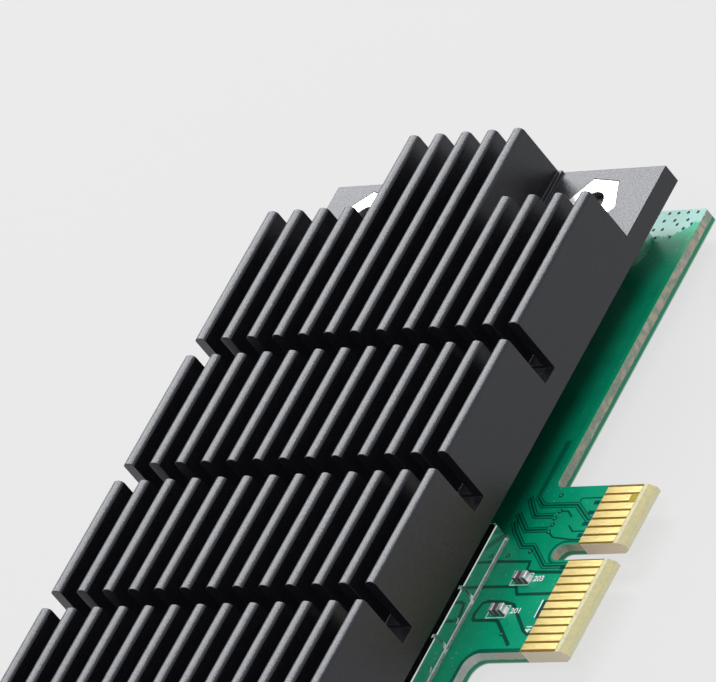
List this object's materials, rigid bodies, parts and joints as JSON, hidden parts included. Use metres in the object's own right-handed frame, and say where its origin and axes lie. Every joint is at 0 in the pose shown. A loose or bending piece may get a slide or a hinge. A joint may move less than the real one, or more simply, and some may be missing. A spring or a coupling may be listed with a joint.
{
  "type": "wireless network expansion card",
  "caption": "Green expansion card with a gold edge connector, a black finned heatsink over a shielded radio, a steel bracket and threaded antenna jacks.",
  "frame": {"origin": "on the key notch's centre line, at the tip of the connector tongue, on the board's component face", "axes": "+X along the card away from the bracket, +Y away from the edge connector, +Z out of the component face"},
  "size_m": [0.1137, 0.12, 0.0185],
  "materials": {
    "board": "glossy green solder mask over glass fibre laminate",
    "contact_gold": "hard gold plating",
    "black_anodised": "black anodised aluminium extrusion, satin",
    "bright_zinc": "bright zinc plated steel",
    "black_steel": "black zinc plated steel",
    "pad": "soft grey thermal pad",
    "shield_tin": "bright tinned sheet",
    "chip_black": "black moulding compound",
    "crystal_can": "plated metal lid",
    "ferrite": "dark grey ferrite",
    "bead_grey": "grey ferrite with bright tinned ends",
    "ceramic_tan": "tan ceramic with tinned ends",
    "resistor_black": "black glazed face with tinned ends",
    "bracket_steel": "nickel plated sheet steel",
    "screw_zinc": "zinc plated steel",
    "jack_gold": "gold plated brass",
    "white_insulator": "white fluoropolymer"
  },
  "bodies": {
    "root": {"circuit_board": "board", "front_contacts": "contact_gold", "back_contacts": "contact_gold", "heatsink": "black_anodised", "heatsink_standoffs": "bright_zinc", "heatsink_screws": "black_steel", "heatsink_pad": "pad", "chip_pad": "pad", "shield_frame": "shield_tin", "shield_cover": "shield_tin", "radio_chip": "chip_black", "front_end_chips": "chip_black", "regulator_chip": "chip_black", "memory_chip": "chip_black", "reference_crystal": "crystal_can", "power_inductor": "ferrite", "ferrite_beads": "bead_grey", "capacitors": "ceramic_tan", "resistors": "resistor_black", "bracket": "bracket_steel", "bracket_screws": "screw_zinc", "lower_jack": "jack_gold", "upper_jack": "jack_gold", "jack_insulators": "white_insulator", "jack_pins": "jack_gold"}
  },
  "joints": []
}
